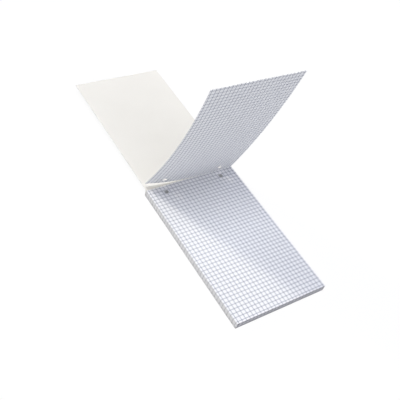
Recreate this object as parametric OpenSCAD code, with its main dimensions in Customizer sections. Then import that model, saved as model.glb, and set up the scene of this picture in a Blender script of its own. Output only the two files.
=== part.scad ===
// Pad of squared index cards with a wrap-round card cover. The front cover is
// folded back level, and the top card stands lifted from its glued edge.
// Millimetres. X runs across the pad, Y from foot to head, Z up.
// The origin is the centre of the pad's underside.

/* [Cards] */
// Width of a card, across the pad
card_w = 125; // [105:1:210]
// Length of a card, from foot to head
card_l = 200; // [125:1:297]
// Thickness of one card
card_t = 0.25; // [0.2:0.01:0.4]
// Number of cards left in the block
card_count = 34; // [12:1:50]
// How far neighbouring cards in the block lie out of line
card_stagger = 0.12; // [0:0.02:0.3]
// How far the skewed cards half way down stand proud
card_proud = 0.35; // [0:0.05:0.6]
// Number of skewed cards half way down
proud_count = 3; // [1:1:5]

/* [Punching] */
// Diameter of the punched holes
hole_d = 5.8; // [4:0.1:7]
// Distance between the two holes
hole_pitch = 80; // [40:1:90]
// Distance of the holes from the head edge
hole_margin = 10; // [6:0.5:20]

/* [Covers] */
// Thickness of the cover card
cover_t = 0.4; // [0.2:0.05:0.8]
// How far the closed front cover would stop short of the foot
cover_short = 4; // [0:0.5:15]
// Angle at which the opened front cover stands above level
cover_rise = 0.7; // [0:0.1:3]
// Gap between the spine and the root of the front cover
fold_gap = 0.3; // [0.2:0.05:0.6]

/* [Glue] */
// Thickness of the padding glue on the head
glue_t = 0.2; // [0.1:0.05:0.5]

/* [Lifted card] */
// Lean of the lifted card over the block at its glued edge, from upright
lean_base = 20; // [8:1:32]
// Lean of the lifted card at its free end
lean_tip = 10; // [4:1:30]
// Extra lean at the loose corner
lean_twist = 6; // [0:0.5:8]
// Lean that the free end has less on that side
tip_twist = 1.2; // [0:0.2:3]
// How far the free end is shifted across the pad
tip_shift = 2; // [-4:0.5:4]
// Height to which the loose corner has come away from the block
corner_lift = 6.2; // [4:0.2:10]
// How far the loose corner bows out past the head
corner_bow = 6; // [3:0.5:8]
// Width over which the glued edge has come loose
corner_reach = 92; // [50:1:100]
// Gap between the lifted card's edge and its seat
seat_gap = 0.1; // [0.05:0.01:0.2]

/* [Hidden] */
$fn = 64;
side_x = card_w / 2;
head_y = card_l / 2;
foot_y = -head_y;
face_z = cover_t + card_count * card_t;
hole_y = head_y - hole_margin;
spine_y = head_y + glue_t;
hinge_y = spine_y + cover_t + fold_gap + cover_t;
front_l = card_l + hinge_y - head_y - cover_short;
// The cards' turning numbers of degrees, which no two neighbours share
turn_x = 137;
turn_y = 97;
// How fast the loose edge rises towards its corner
corner_curl = 2.6;
// Mesh steps of the lifted card
steps_across = 12;
steps_along = 12;
drill_over = 1;

// True for the skewed cards half way down the block
function is_proud(i) = abs(i - (card_count - 1) / 2) < proud_count / 2;
function shift_x(i) = is_proud(i) ? -card_proud : card_stagger * sin(i * turn_x);
function shift_y(i) = is_proud(i) ? -card_proud : -card_stagger * abs(sin(i * turn_y));

// How loose the glued edge is at a distance u from the left, 1 at the corner
function loose(u) = u < corner_reach ? pow(1 - u / corner_reach, corner_curl) : 0;
// A stretch s further up, the card has eased towards a straight free end
function slack(u, s) =
    let (k = pow(1 - s / card_l, 2))
    loose(u) * k + (1 - u / card_w) * (1 - k);
function edge_z(u, s) = face_z + seat_gap + corner_lift * slack(u, s);
function edge_y(u, s) = head_y - card_t + corner_bow * slack(u, s);
function base_lean(u) = lean_base + lean_twist * (1 - u / card_w);
function end_lean(u) = lean_tip - tip_twist * (1 - u / card_w);
function lean(u, s) = base_lean(u) + (end_lean(u) - base_lean(u)) * s / card_l;

// The card's section is an arc whose lean changes evenly, so a stretch s of it
// has a chord that lies at the mean of its two leans.
function half_turn(u, s) = (base_lean(u) - lean(u, s)) / 2;
function mean_lean(u, s) = (base_lean(u) + lean(u, s)) / 2;
function chord(u, s) = let (h = half_turn(u, s)) h == 0 ? s : s * sin(h) / (h * PI / 180);
function mid_x(u, s) = u - side_x + tip_shift * s / card_l;
function mid_y(u, s) = edge_y(u, s) - chord(u, s) * sin(mean_lean(u, s));
function mid_z(u, s) = edge_z(u, s) + chord(u, s) * cos(mean_lean(u, s));
function middle(u, s) = [mid_x(u, s), mid_y(u, s), mid_z(u, s)];

// A point of the card's surface, on its front (side -1) or its back (side 1).
// The cut edge that is seated is level; everything else is square to the card.
function card_point(u, s, side) =
    let (half = side * card_t / 2, a = lean(u, s))
    s == 0 ? [mid_x(u, s), mid_y(u, s) + half / cos(a), mid_z(u, s)]
           : [mid_x(u, s), mid_y(u, s) + half * cos(a), mid_z(u, s) + half * sin(a)];

// A solid drawn out across the pad through flat sections that have as many
// points each. Its side walls are triangles, because they may be twisted.
module loft(sections) {
    n = len(sections[0]);
    last = len(sections) - 1;
    points = [for (section = sections) for (p = section) p];
    walls = [for (r = [0 : last - 1]) for (k = [0 : n - 1])
        let (a = r * n + k, b = r * n + (k + 1) % n)
            each [[a, b + n, a + n], [a, b, b + n]]];
    ends = [[for (k = [n - 1 : -1 : 0]) k], [for (k = [0 : n - 1]) last * n + k]];
    polyhedron(points, concat(walls, ends), convexity = 4);
}

// Two punched holes, square to a card that lies in the XY plane
module punch(depth) {
    for (side = [-1, 1])
        translate([side * hole_pitch / 2, 0, -depth / 2])
            cylinder(d = hole_d, h = depth);
}

// An outline in Y and Z, drawn out across the pad
module across() {
    translate([-side_x, 0, 0])
        rotate([90, 0, 90])
            linear_extrude(card_w)
                children();
}

// The cards still in the pad, as one block with its edges slightly uneven
module card_block() {
    color("ghostwhite")
        difference() {
            for (i = [0 : card_count - 1])
                translate([shift_x(i) - side_x, shift_y(i) + foot_y, cover_t + i * card_t])
                    cube([card_w, card_l, card_t]);
            translate([0, hole_y, face_z - card_count * card_t / 2])
                punch(card_count * card_t + 2 * drill_over);
        }
}

// The top card, bent up from its glued edge, with its left corner come loose
module lifted_card() {
    du = card_w / steps_across;
    ds = card_l / steps_along;
    color("lightsteelblue")
        difference() {
            loft([for (i = [0 : steps_across]) concat(
                [for (j = [steps_along : -1 : 0]) card_point(i * du, j * ds, -1)],
                [for (j = [0 : steps_along]) card_point(i * du, j * ds, 1)])]);
            for (side = [-1, 1])
                let (u = side_x + side * hole_pitch / 2)
                    translate(middle(u, hole_margin))
                        rotate([lean(u, hole_margin) - 90, 0, 0])
                            translate([0, 0, -drill_over])
                                cylinder(d = hole_d, h = 2 * drill_over);
        }
}

// Padding glue on the head, between the cards and the spine
module glue_strip() {
    color("cornsilk")
        across()
            translate([head_y, cover_t])
                square([glue_t, face_z - cover_t]);
}

// Back cover and spine, folded from one piece of card round the head
module back_cover() {
    color("ivory")
        across() {
            translate([foot_y, 0])
                square([spine_y - foot_y, cover_t]);
            translate([spine_y, cover_t])
                square([cover_t, face_z - cover_t]);
            translate([spine_y, cover_t])
                intersection() {
                    circle(r = cover_t);
                    translate([0, -cover_t])
                        square(cover_t);
                }
        }
}

// Front cover, folded back level with the cards' face, its root rounded
module front_cover() {
    color("ivory")
        translate([0, hinge_y, face_z])
            rotate([cover_rise, 0, 0])
                across() {
                    translate([-cover_t / 2, -cover_t])
                        square([front_l + cover_t / 2, cover_t]);
                    translate([-cover_t / 2, -cover_t / 2])
                        circle(d = cover_t);
                }
}

card_block();
lifted_card();
glue_strip();
back_cover();
front_cover();
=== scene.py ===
"""Finish, light and camera for a head-glued pad of squared index cards.

The pad lies on its back cover with its front cover folded back. The top card
stands lifted from its glued edge. Lengths are in metres and angles in degrees
unless a name says otherwise.
"""
import logging
import math
from dataclasses import dataclass
from enum import Enum
from typing import Any, Dict, List, Optional, Tuple, Union

import bmesh
import bpy
from mathutils import Matrix, Vector


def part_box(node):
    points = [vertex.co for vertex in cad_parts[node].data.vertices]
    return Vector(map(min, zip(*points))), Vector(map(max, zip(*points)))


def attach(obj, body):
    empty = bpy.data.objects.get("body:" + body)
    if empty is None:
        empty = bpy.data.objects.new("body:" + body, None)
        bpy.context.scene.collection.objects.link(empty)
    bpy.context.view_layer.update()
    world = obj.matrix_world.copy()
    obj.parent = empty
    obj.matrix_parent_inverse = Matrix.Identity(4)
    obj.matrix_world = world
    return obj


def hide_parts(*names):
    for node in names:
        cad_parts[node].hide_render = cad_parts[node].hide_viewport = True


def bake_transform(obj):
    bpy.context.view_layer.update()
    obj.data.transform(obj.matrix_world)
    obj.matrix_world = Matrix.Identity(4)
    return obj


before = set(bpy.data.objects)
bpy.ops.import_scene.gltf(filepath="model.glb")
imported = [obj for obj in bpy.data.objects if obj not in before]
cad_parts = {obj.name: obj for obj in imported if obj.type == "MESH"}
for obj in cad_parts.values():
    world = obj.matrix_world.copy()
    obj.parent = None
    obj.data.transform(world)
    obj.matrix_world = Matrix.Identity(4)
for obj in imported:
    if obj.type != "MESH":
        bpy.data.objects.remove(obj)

log = logging.getLogger("pad")
MM = 0.001
Colour = Tuple[float, float, float]

# The way to the main lamp, behind the pad on its left
BEHIND_LEFT = (-0.83, 1.58, 1.0)
# How far the fold laps over the spine and over the front cover's root
FOLD_LAP = 0.2 * MM
# A face counts as a wall where its normal's upright part is below these
WALL_FROM, WALL_FULL = 0.6, 0.4


class Body(Enum):
    """The bodies that pieces ride on."""

    PAD = "pad"
    COVER = "cover"


class Space(Enum):
    """Where a pattern takes its coordinates from."""

    OBJECT = "Object"
    UV = "UV"


def tone(red: int, green: int, blue: int) -> Colour:
    """A colour as a picture shows it, 0 to 255, made linear.

    Args:
        red: red share.
        green: green share.
        blue: blue share.

    Returns:
        The three linear values.
    """
    shares = [c / 255 for c in (red, green, blue)]
    linear = [c / 12.92 if c <= 0.04045 else ((c + 0.055) / 1.055) ** 2.4 for c in shares]
    return linear[0], linear[1], linear[2]


class Wire:
    """A shader socket that can be added, multiplied and compared."""

    def __init__(self, shader: "Shader", socket: bpy.types.NodeSocket) -> None:
        """Keeps the socket and the shader that it belongs to."""
        self.shader = shader
        self.socket = socket

    def _math(self, operation: str, *others: Union["Wire", float]) -> "Wire":
        """The result of a Math node on this wire and the others."""
        values = dict(enumerate((self, *others)))
        return self.shader.node("ShaderNodeMath", {"operation": operation}, values)[0]

    def __add__(self, other: Union["Wire", float]) -> "Wire":
        """This plus the other."""
        return self._math("ADD", other)

    __radd__ = __add__

    def __mul__(self, other: Union["Wire", float]) -> "Wire":
        """This times the other."""
        return self._math("MULTIPLY", other)

    __rmul__ = __mul__

    def __sub__(self, other: Union["Wire", float]) -> "Wire":
        """This less the other."""
        return self._math("SUBTRACT", other)

    def __rsub__(self, other: float) -> "Wire":
        """A number less this."""
        return self.shader.node(
            "ShaderNodeMath", {"operation": "SUBTRACT"}, {0: other, 1: self}
        )[0]

    def __truediv__(self, other: Union["Wire", float]) -> "Wire":
        """This divided by the other."""
        return self._math("DIVIDE", other)

    def __abs__(self) -> "Wire":
        """This without its sign."""
        return self._math("ABSOLUTE")

    def fraction(self) -> "Wire":
        """What is left of this above a whole number."""
        return self._math("FRACT")

    def whole(self) -> "Wire":
        """The whole number below this."""
        return self._math("FLOOR")

    def larger(self, other: Union["Wire", float]) -> "Wire":
        """The larger of this and the other."""
        return self._math("MAXIMUM", other)

    def step(self, start: float, end: float) -> "Wire":
        """A smooth step of this from 0 at start to 1 at end, which may lie below start.

        Args:
            start: where the step is 0.
            end: where the step is 1.

        Returns:
            The step, between 0 and 1.
        """
        low, high = min(start, end), max(start, end)
        rise = self.shader.node(
            "ShaderNodeMapRange",
            {"interpolation_type": "SMOOTHSTEP", "clamp": True},
            {"Value": self, "From Min": low, "From Max": high},
        )[0]
        return rise if end > start else 1 - rise


class Shader:
    """The nodes of a material or of the sky, made by calls."""

    def __init__(self, owner: Union[bpy.types.Material, bpy.types.World]) -> None:
        """Clears the owner's nodes to start with none."""
        owner.use_nodes = True
        self.owner = owner
        self.tree = owner.node_tree
        self.tree.nodes.clear()

    @classmethod
    def named(cls, name: str) -> "Shader":
        """The shader of a new material of that name."""
        return cls(bpy.data.materials.new(name))

    def node(
        self,
        kind: str,
        settings: Optional[Dict[str, Any]] = None,
        values: Optional[Dict[Union[int, str], Any]] = None,
    ) -> List[Wire]:
        """Makes any node.

        Args:
            kind: the node's type.
            settings: its own settings, set first.
            values: numbers, colours or wires for its sockets.

        Returns:
            A wire for each of its enabled outputs.
        """
        made = self.tree.nodes.new(kind)
        for key, value in (settings or {}).items():
            setattr(made, key, value)
        for key, value in (values or {}).items():
            socket = made.inputs[key]
            if isinstance(value, Wire):
                self.tree.links.new(value.socket, socket)
            elif isinstance(value, tuple) and len(value) == 3 and socket.type == "RGBA":
                socket.default_value = (*value, 1.0)
            else:
                socket.default_value = value
        return [Wire(self, socket) for socket in made.outputs if socket.enabled]

    def blend(self, first: Union[Wire, Colour], second: Union[Wire, Colour], share: Wire) -> Wire:
        """A colour between two, by a share from 0, the first, to 1, the second."""
        made = self.tree.nodes.new("ShaderNodeMix")
        made.data_type = "RGBA"
        made.clamp_factor = True
        sockets = {s.identifier: s for s in made.inputs}
        self.tree.links.new(share.socket, sockets["Factor_Float"])
        for name, value in (("A_Color", first), ("B_Color", second)):
            if isinstance(value, Wire):
                self.tree.links.new(value.socket, sockets[name])
            else:
                sockets[name].default_value = (*value, 1.0)
        result = next(s for s in made.outputs if s.identifier == "Result_Color")
        return Wire(self, result)

    def noise(self, place: Wire, scale: float, detail: float = 3.0) -> Wire:
        """Soft noise from 0 to 1.

        Args:
            place: where it is read.
            scale: how many of its features lie in a metre.
            detail: how many finer layers it has.

        Returns:
            Its value.
        """
        return self.node(
            "ShaderNodeTexNoise", {}, {"Vector": place, "Scale": scale, "Detail": detail}
        )[0]

    def place(self, space: Space) -> Wire:
        """The coordinates of a point in that space."""
        made = self.tree.nodes.new("ShaderNodeTexCoord")
        return Wire(self, made.outputs[space.value])

    def seen(self) -> Wire:
        """1 for the rays that the eye sees by, also by reflection or through glass."""
        rays = self.tree.nodes.new("ShaderNodeLightPath").outputs
        kinds = ("Is Camera Ray", "Is Glossy Ray", "Is Transmission Ray")
        camera, glossy, through = (Wire(self, rays[kind]) for kind in kinds)
        return camera.larger(glossy).larger(through)

    def axes(self, place: Wire) -> Tuple[Wire, Wire, Wire]:
        """The three parts of a vector."""
        parts = self.node("ShaderNodeSeparateXYZ", {}, {0: place})
        return parts[0], parts[1], parts[2]

    def vector(self, x: Union[Wire, float], y: Union[Wire, float], z: Union[Wire, float]) -> Wire:
        """A vector from three parts."""
        return self.node("ShaderNodeCombineXYZ", {}, {0: x, 1: y, 2: z})[0]

    def finish(
        self,
        colour: Union[Wire, Colour],
        roughness: Union[Wire, float],
        height: Optional[Wire] = None,
        depth: float = 0.0,
        constants: Optional[Dict[str, float]] = None,
    ) -> bpy.types.Material:
        """Joins everything to the surface.

        Args:
            colour: base colour.
            roughness: roughness.
            height: height from 0 to 1 for the bump, if there is one.
            depth: the height's full depth.
            constants: other sockets that stay the same all over.

        Returns:
            The finished material.
        """
        values: Dict[Union[int, str], Any] = {"Base Color": colour, "Roughness": roughness}
        values.update(constants or {})
        if height is not None:
            values["Normal"] = self.node(
                "ShaderNodeBump", {}, {"Height": height, "Distance": depth, "Strength": 1.0}
            )[0]
        surface = self.node("ShaderNodeBsdfPrincipled", {}, values)[0]
        self.node("ShaderNodeOutputMaterial", {}, {"Surface": surface})
        return self.owner


@dataclass(frozen=True)
class RuledCard:
    """White index card with a fine squared ruling.

    The ruling stands half a square in from every edge of the card. On the
    sides of a stack, the edge tones are those of its long walls, and its end
    walls take darker tones that are painted shade, the same paper darkened for
    the weaker light that reaches them.
    The bands are levels at which the edges are darker, and proud_z is the
    level of the cards that stand proud at the end walls, where a lighter band
    is painted as the highlight that their edges catch.
    """

    name: str
    space: Space
    card_w: float
    card_l: float
    square: float = 5 * MM
    line: float = 0.50 * MM
    soft: float = 0.08 * MM
    paper: Colour = tone(235, 236, 237)
    shade: Colour = tone(229, 230, 233)
    ink: Colour = tone(80, 85, 112)
    edge: Colour = tone(248, 248, 247)
    edge_dark: Colour = tone(220, 220, 220)
    # Painted shade: the end walls' tones, darker than the edge tones of the long walls.
    end_wall_shade: Colour = tone(164, 162, 164)
    end_wall_shade_dark: Colour = tone(124, 122, 125)
    # Painted highlight: the lighter tone of the proud cards at the end walls.
    end_wall_glint: Colour = tone(206, 205, 207)
    leaf: float = 0.25 * MM
    bands: Tuple[float, ...] = (1.4 * MM, 7.0 * MM)
    band: float = 0.7 * MM
    proud_z: float = 4.7 * MM
    proud: float = 1.1 * MM
    ink_base: float = 0.82
    ink_uneven: float = 0.3
    tick_share: float = 0.5
    grain_depth: float = 0.02 * MM
    dullness: float = 0.72
    end_from: float = 0.485
    end_full: float = 0.495

    def _line(self, along: Wire) -> Wire:
        """How much of a line covers a point, by its distance along one direction."""
        apart = abs((along / self.square).fraction() - 0.5) * self.square
        return apart.step(self.line / 2 + self.soft, self.line / 2 - self.soft)

    def _print(self, shader: Shader, u: Wire, v: Wire) -> Wire:
        """The ruling's ink, uneven as print is."""
        ink = self._line(u).larger(self._line(v))
        uneven = shader.noise(shader.vector(u, v, 0.0), 900.0)
        return ink * (self.ink_base + self.ink_uneven * uneven)

    def make(self) -> bpy.types.Material:
        """The material."""
        shader = Shader.named(self.name)
        place = shader.place(self.space)
        x, y, z = shader.axes(place)
        if self.space is Space.UV:
            u, v = x * self.card_w, y * self.card_l
        else:
            u, v = x + self.card_w / 2, y + self.card_l / 2
        ink = self._print(shader, u, v)
        cloud = shader.noise(shader.vector(u, v, 0.0), 60.0, 2.0)
        fibre = shader.noise(shader.vector(u, v, 0.0), 2600.0, 4.0)
        sheet = shader.blend(self.paper, self.shade, 0.7 * cloud + 0.3 * fibre)
        face = shader.blend(sheet, self.ink, ink)
        if self.space is Space.UV:
            return shader.finish(face, self.dullness - 0.06 * ink, fibre, self.grain_depth)
        return self._with_edges(shader, face, ink, fibre, (u, v, z))

    def _with_edges(
        self, shader: Shader, face: Wire, ink: Wire, fibre: Wire, at: Tuple[Wire, Wire, Wire]
    ) -> bpy.types.Material:
        """Adds the look of many cut edges on the sides of a stack.

        Args:
            shader: the shader.
            face: the colour of the top card.
            ink: its ruling; not used.
            fibre: its grain.
            at: place across, along and up the stack.

        Returns:
            The material.
        """
        u, v, z = at
        facing = shader.axes(shader.node("ShaderNodeNewGeometry")[1])
        side = abs(facing[2]).step(WALL_FROM, WALL_FULL)
        outer = abs(v / self.card_l - 0.5).step(self.end_from, self.end_full)
        end = abs(facing[1]).step(WALL_FULL, WALL_FROM) * outer
        card = (z / self.leaf).whole()
        each = shader.noise(shader.vector(card * 0.37, 0.0, 0.0), 40.0, 0.0)
        worn = shader.noise(shader.vector(u, v, z * 30), 220.0, 3.0)
        tick = self._line(u).larger(self._line(v)) * self.tick_share * worn
        dark = each.step(0.35, 0.7) * 0.5 + 0.2 * worn
        for level in self.bands:
            dark = dark + 0.6 * abs(z - level).step(self.band, 0.0)
        # Painted shade: the end walls, marked by end, take the darker end-wall tones.
        stack = shader.blend(
            shader.blend(self.edge, self.edge_dark, dark),
            shader.blend(self.end_wall_shade, self.end_wall_shade_dark, dark),
            end,
        )
        # Painted highlight: a lighter band at proud_z on the end walls, between the ruling's
        # lines.
        between = abs((u / self.square).fraction() - 0.5).step(0.15, 0.4)
        painted_glint = abs(z - self.proud_z).step(self.proud, 0.0) * between * end
        stack = shader.blend(stack, self.end_wall_glint, painted_glint)
        stack = shader.blend(stack, self.ink, tick)
        colour = shader.blend(face, stack, side)
        return shader.finish(colour, self.dullness + 0.15 * side, fibre, self.grain_depth)


@dataclass(frozen=True)
class CoverCard:
    """Matt off-white cover card with a faint fibre grain.

    The cut edges that lie on the table are greyer, up to the spine, and so are
    the spine's own cut edges.
    """

    spine_y: float
    name: str = "cover_card"
    base: Colour = tone(235, 233, 226)
    deep: Colour = tone(228, 226, 218)
    fleck: Colour = tone(212, 209, 194)
    edge: Colour = tone(128, 127, 126)
    edge_top: float = 1.0 * MM
    spine_edge: Colour = tone(160, 158, 156)
    spine_top: float = 8.6 * MM
    fade: float = 0.1 * MM

    def make(self) -> bpy.types.Material:
        """The material."""
        shader = Shader.named(self.name)
        place = shader.place(Space.OBJECT)
        x, y, z = shader.axes(place)
        cloud = shader.noise(place, 28.0, 2.0)
        grain = shader.noise(shader.vector(x, y * 0.35, z), 2200.0, 5.0)
        flecks = shader.noise(place, 700.0, 1.0).step(0.7, 0.8)
        colour = shader.blend(self.base, self.deep, 0.6 * cloud + 0.4 * grain)
        colour = shader.blend(colour, self.fleck, 0.3 * flecks)
        facing = shader.axes(shader.node("ShaderNodeNewGeometry")[1])
        below = z.step(self.edge_top, self.edge_top / 2)
        low = below * y.step(self.spine_y, self.spine_y - self.edge_top)
        colour = shader.blend(colour, self.edge, abs(facing[2]).step(0.25, 0.05) * low)
        under_fold = z.step(self.spine_top, self.spine_top - self.edge_top)
        spine = under_fold * y.step(self.spine_y - self.fade, self.spine_y + self.fade)
        colour = shader.blend(colour, self.spine_edge, abs(facing[0]).step(0.7, 0.9) * spine)
        return shader.finish(colour, 0.82 - 0.08 * grain, grain, 0.03 * MM)


@dataclass(frozen=True)
class DriedGlue:
    """Cream padding glue, brushed on and dried to a thin skin."""

    name: str = "dried_glue"
    thick: Colour = tone(206, 203, 180)
    thin: Colour = tone(232, 230, 216)

    def make(self) -> bpy.types.Material:
        """The material."""
        shader = Shader.named(self.name)
        place = shader.place(Space.OBJECT)
        x, y, z = shader.axes(place)
        strokes = shader.noise(shader.vector(x, y, z * 6), 260.0, 3.0)
        lumps = shader.noise(place, 900.0, 2.0)
        colour = shader.blend(self.thick, self.thin, 0.5 * strokes + 0.5 * lumps)
        return shader.finish(colour, 0.42 + 0.2 * lumps, strokes, 0.08 * MM)


def dress(piece: bpy.types.Object, material: bpy.types.Material) -> None:
    """Gives a piece one material in place of any that it has."""
    piece.data.materials.clear()
    piece.data.materials.append(material)


def add_piece(
    name: str, mesh: bmesh.types.BMesh, material: bpy.types.Material
) -> bpy.types.Object:
    """Makes an object from a finished bmesh.

    Args:
        name: the object's name.
        mesh: its form, in the row frame. It is freed.
        material: its finish.

    Returns:
        The object.
    """
    data = bpy.data.meshes.new(name)
    mesh.to_mesh(data)
    mesh.free()
    piece = bpy.data.objects.new(name, data)
    bpy.context.scene.collection.objects.link(piece)
    dress(piece, material)
    return piece


@dataclass
class LiftedCard:
    """The top card, bent up from its glued edge.

    Its section is an arc whose lean from upright changes evenly from the glued
    edge to the free end. The glued edge has come loose at its left corner.
    """

    card_w: float
    card_l: float
    face_z: float
    card_t: float = 0.25 * MM
    lean_base: float = 20.0
    lean_tip: float = 10.0
    lean_twist: float = 6.0
    tip_twist: float = 1.2
    tip_shift: float = 2.0 * MM
    corner_lift: float = 6.2 * MM
    corner_bow: float = 6.0 * MM
    corner_reach: float = 92.0 * MM
    corner_curl: float = 2.6
    seat_gap: float = 0.1 * MM
    hole_r: float = 2.9 * MM
    hole_pitch: float = 80.0 * MM
    hole_margin: float = 10.0 * MM
    cell: float = 2.5 * MM
    hole_cuts: int = 3

    def place(self, u: float, s: float, out: float) -> Vector:
        """A point of the card.

        Args:
            u: distance from the card's left edge.
            s: distance from its glued edge.
            out: distance from its middle, towards its back.

        Returns:
            The point in the row frame.
        """
        left = 1 - u / self.card_w
        up = s / self.card_l
        loose = max(0.0, 1 - u / self.corner_reach) ** self.corner_curl
        ease = (1 - up) ** 2
        slack = loose * ease + left * (1 - ease)
        base = self.lean_base + self.lean_twist * left
        lean = base + (self.lean_tip - self.tip_twist * left - base) * up
        half = math.radians(base - lean) / 2
        chord = s * (math.sin(half) / half if half else 1.0)
        middle, here = math.radians((base + lean) / 2), math.radians(lean)
        y = self.card_l / 2 - self.card_t + self.corner_bow * slack
        z = self.face_z + self.seat_gap + self.corner_lift * slack
        return Vector((
            u - self.card_w / 2 + self.tip_shift * up,
            y - chord * math.sin(middle) + out * math.cos(here),
            z + chord * math.cos(middle) + out * math.sin(here),
        ))

    def _flat(self) -> bmesh.types.BMesh:
        """The flat card in the XY plane, glued edge at y 0, with two holes."""
        mesh = bmesh.new()
        across, along = round(self.card_w / self.cell), round(self.card_l / self.cell)
        bmesh.ops.create_grid(mesh, x_segments=across, y_segments=along, size=0.5)
        bmesh.ops.scale(mesh, vec=(self.card_w, self.card_l, 1), verts=mesh.verts)
        bmesh.ops.translate(mesh, vec=(0, self.card_l / 2, 0), verts=mesh.verts)
        for side in (-1, 1):
            self._punch(mesh, Vector((side * self.hole_pitch / 2, self.hole_margin, 0)))
        return mesh

    def _punch(self, mesh: bmesh.types.BMesh, centre: Vector) -> None:
        """Opens one round hole where four cells meet.

        Args:
            mesh: the flat card.
            centre: the hole's centre.
        """
        middle = min(mesh.verts, key=lambda v: (v.co - centre).length)
        cells = list(middle.link_faces)
        rim = [e for f in cells for e in f.edges if middle not in e.verts]
        bmesh.ops.delete(mesh, geom=[middle], context="VERTS")
        bmesh.ops.subdivide_edges(mesh, edges=rim, cuts=self.hole_cuts)
        near = self.cell * 1.5
        ring = {
            v for e in mesh.edges if e.is_boundary for v in e.verts
            if (v.co - centre).length < near
        }
        for vert in ring:
            vert.co = centre + (vert.co - centre).normalized() * self.hole_r

    def build(self, material: bpy.types.Material) -> bpy.types.Object:
        """Makes the bent card.

        Args:
            material: its finish.

        Returns:
            The piece.
        """
        mesh = self._flat()
        bmesh.ops.solidify(mesh, geom=mesh.faces[:], thickness=self.card_t)
        centre = sum(v.co.z for v in mesh.verts) / len(mesh.verts)
        bmesh.ops.translate(mesh, vec=(0, 0, -centre), verts=mesh.verts)
        bmesh.ops.recalc_face_normals(mesh, faces=mesh.faces)
        layer = mesh.loops.layers.uv.new("card")
        for face in mesh.faces:
            face.smooth = abs(face.normal.z) > 0.5
            for loop in face.loops:
                flat = loop.vert.co
                loop[layer].uv = (flat.x / self.card_w + 0.5, flat.y / self.card_l)
        for edge in mesh.edges:
            edge.smooth = len({f.smooth for f in edge.link_faces}) == 1
        for vert in mesh.verts:
            flat = vert.co
            vert.co = self.place(flat.x + self.card_w / 2, flat.y, -flat.z)
        bmesh.ops.recalc_face_normals(mesh, faces=mesh.faces)
        piece = add_piece("top_card", mesh, material)
        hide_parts("lifted_card")
        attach(piece, Body.PAD.value)
        return piece


@dataclass
class CoverFold:
    """The card between the spine and the root of the front cover, as a flat strip."""

    card_w: float
    start: Vector
    end: Vector
    thick: float = 0.3 * MM
    steps: int = 8

    def build(self, material: bpy.types.Material) -> bpy.types.Object:
        """Makes the fold.

        Args:
            material: its finish.

        Returns:
            The piece.
        """
        mesh = bmesh.new()
        bmesh.ops.create_cube(mesh, size=1.0)
        reach = self.end.y - self.start.y
        bmesh.ops.scale(mesh, vec=(self.card_w, reach, self.thick), verts=mesh.verts)
        middle = (self.start + self.end) / 2 - Vector((0, 0, self.thick / 2))
        bmesh.ops.translate(mesh, vec=middle, verts=mesh.verts)
        long_edges = [
            e for e in mesh.edges if abs(e.verts[0].co.y - e.verts[1].co.y) > reach / 2
        ]
        bmesh.ops.subdivide_edges(mesh, edges=long_edges, cuts=self.steps)
        piece = add_piece("cover_fold", mesh, material)
        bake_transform(piece)
        return piece


@dataclass(frozen=True)
class Softbox:
    """A large, far lamp.

    Its power is what it gives to a surface that faces it, and its angle is how
    wide it looks from the pad.
    """

    name: str
    way: Tuple[float, float, float]
    power: float
    angle: float
    tint: Colour = (1.0, 1.0, 1.0)

    def build(self) -> None:
        """Makes the lamp."""
        lamp = bpy.data.lights.new(self.name, "SUN")
        lamp.energy = self.power
        lamp.color = self.tint
        lamp.angle = math.radians(self.angle)
        piece = bpy.data.objects.new(self.name, lamp)
        piece.rotation_euler = Vector(self.way).to_track_quat("Z", "Y").to_euler()
        bpy.context.scene.collection.objects.link(piece)


@dataclass
class Studio:
    """A white floor, a faint even sky and five lamps."""

    floor_size: float = 6.0
    floor_show: float = 0.92
    floor_white: float = 1.03
    floor_bounce: Colour = tone(214, 215, 217)
    sky_level: float = 0.055
    sky_tint: Colour = (0.4, 0.5, 1.4)
    lamps: Tuple[Softbox, ...] = (
        Softbox("key", BEHIND_LEFT, 0.7, 5.0, (1.0, 0.94, 0.76)),
        Softbox("key_glow", BEHIND_LEFT, 0.75, 14.0, (1.0, 0.94, 0.82)),
        Softbox("above", (-0.16, 0.0, 1.0), 1.66, 30.0, (0.985, 0.995, 1.01)),
        Softbox("right", (0.45, 0.0, 1.0), 0.36, 30.0, (0.9, 0.94, 1.1)),
        Softbox("front", (0.0, -1.0, 0.9), 1.28, 50.0, (0.985, 0.985, 1.01)),
    )

    def floor(self) -> bpy.types.Object:
        """The floor: white to the eye, with a faint shadow, and grey to the light."""
        shader = Shader.named("floor_paper")
        matt = shader.node("ShaderNodeBsdfDiffuse", {}, {"Color": self.floor_bounce})[0]
        glow = {"Color": (1.0, 1.0, 1.0), "Strength": self.floor_white}
        white = shader.node("ShaderNodeEmission", {}, glow)[0]
        share = shader.seen() * self.floor_show
        mixed = shader.node("ShaderNodeMixShader", {}, {0: share, 1: matt, 2: white})[0]
        shader.node("ShaderNodeOutputMaterial", {}, {"Surface": mixed})
        mesh = bmesh.new()
        bmesh.ops.create_grid(mesh, x_segments=1, y_segments=1, size=self.floor_size / 2)
        piece = add_piece("floor", mesh, shader.owner)
        return piece

    def sky(self) -> None:
        """The sky: plain white to the eye, and faintly blue to the light."""
        world = bpy.data.worlds.new("studio")
        bpy.context.scene.world = world
        shader = Shader(world)
        glow = {"Color": self.sky_tint, "Strength": self.sky_level}
        light = shader.node("ShaderNodeBackground", {}, glow)[0]
        plain = {"Color": (1.0, 1.0, 1.0), "Strength": 1.0}
        white = shader.node("ShaderNodeBackground", {}, plain)[0]
        mixed = shader.node("ShaderNodeMixShader", {}, {0: shader.seen(), 1: light, 2: white})[0]
        shader.node("ShaderNodeOutputWorld", {}, {"Surface": mixed})

    def build(self) -> None:
        """Makes the floor, the sky and the lamps."""
        self.floor()
        self.sky()
        for lamp in self.lamps:
            lamp.build()


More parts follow.
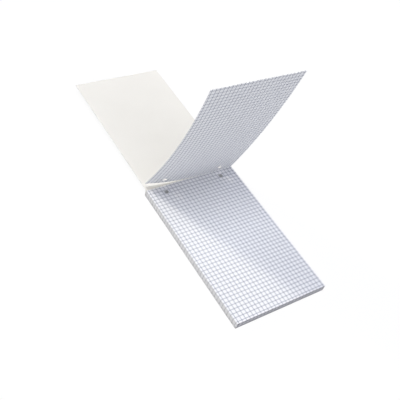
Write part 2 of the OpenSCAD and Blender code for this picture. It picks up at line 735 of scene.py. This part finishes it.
@dataclass
class Viewpoint:
    """The camera, placed as the photograph was taken."""

    place: Tuple[float, float, float] = (-0.4093, -0.32716, 0.58372)
    heading: float = 45.77
    dip: float = 45.72
    roll: float = 18.99
    lens: float = 59.96
    sensor: float = 36.0

    def build(self) -> None:
        """Makes the camera and sets it as the scene's own."""
        turn, down = math.radians(self.heading), math.radians(self.dip)
        ahead = Vector((
            math.sin(turn) * math.cos(down), math.cos(turn) * math.cos(down), -math.sin(down)
        ))
        facing = ahead.to_track_quat("-Z", "Y").to_matrix()
        rolled = facing @ Matrix.Rotation(math.radians(self.roll), 3, "Z")
        data = bpy.data.cameras.new("view")
        data.lens = self.lens
        data.sensor_width = self.sensor
        camera = bpy.data.objects.new("view", data)
        camera.location = self.place
        camera.rotation_euler = rolled.to_euler()
        bpy.context.scene.collection.objects.link(camera)
        bpy.context.scene.camera = camera


def main() -> None:
    """Builds the pad's pieces in order, then the stage, and reports each."""
    logging.basicConfig(level=logging.INFO, format="%(name)s: %(message)s")
    bpy.context.scene.view_settings.view_transform = "Standard"
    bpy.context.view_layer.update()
    low, high = (Vector(corner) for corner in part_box("back_cover"))
    card_w = high.x - low.x
    card_l = 2 * -low.y
    face_z = high.z
    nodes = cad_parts

    Viewpoint().build()

    stack_finish = RuledCard("card_stack", Space.OBJECT, card_w, card_l).make()
    dress(nodes["card_block"], stack_finish)
    log.info("card block dressed, %.1f mm wide", card_w / MM)

    # Painted light: the loose card is the same paper as the block, given lighter tones to stand
    # in for the light that shines through the thin card.
    brightened_loose_finish = RuledCard(
        "loose_card", Space.UV, card_w, card_l,
        line=0.46 * MM, paper=tone(249, 250, 248), shade=tone(243, 244, 244),
    )
    LiftedCard(card_w, card_l, face_z).build(brightened_loose_finish.make())
    log.info("lifted card built")

    cover_finish = CoverCard(card_l / 2).make()
    dress(nodes["back_cover"], cover_finish)
    dress(nodes["front_cover"], cover_finish)
    root = Vector(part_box("front_cover")[0])
    start = Vector((0, high.y - FOLD_LAP, face_z))
    end = Vector((0, root.y + FOLD_LAP, face_z))
    CoverFold(card_w, start, end).build(cover_finish)
    log.info("covers dressed")

    dress(nodes["glue_strip"], DriedGlue().make())
    log.info("glue dressed")

    Studio().build()
    log.info("stage lit")


if __name__ == "__main__":
    main()
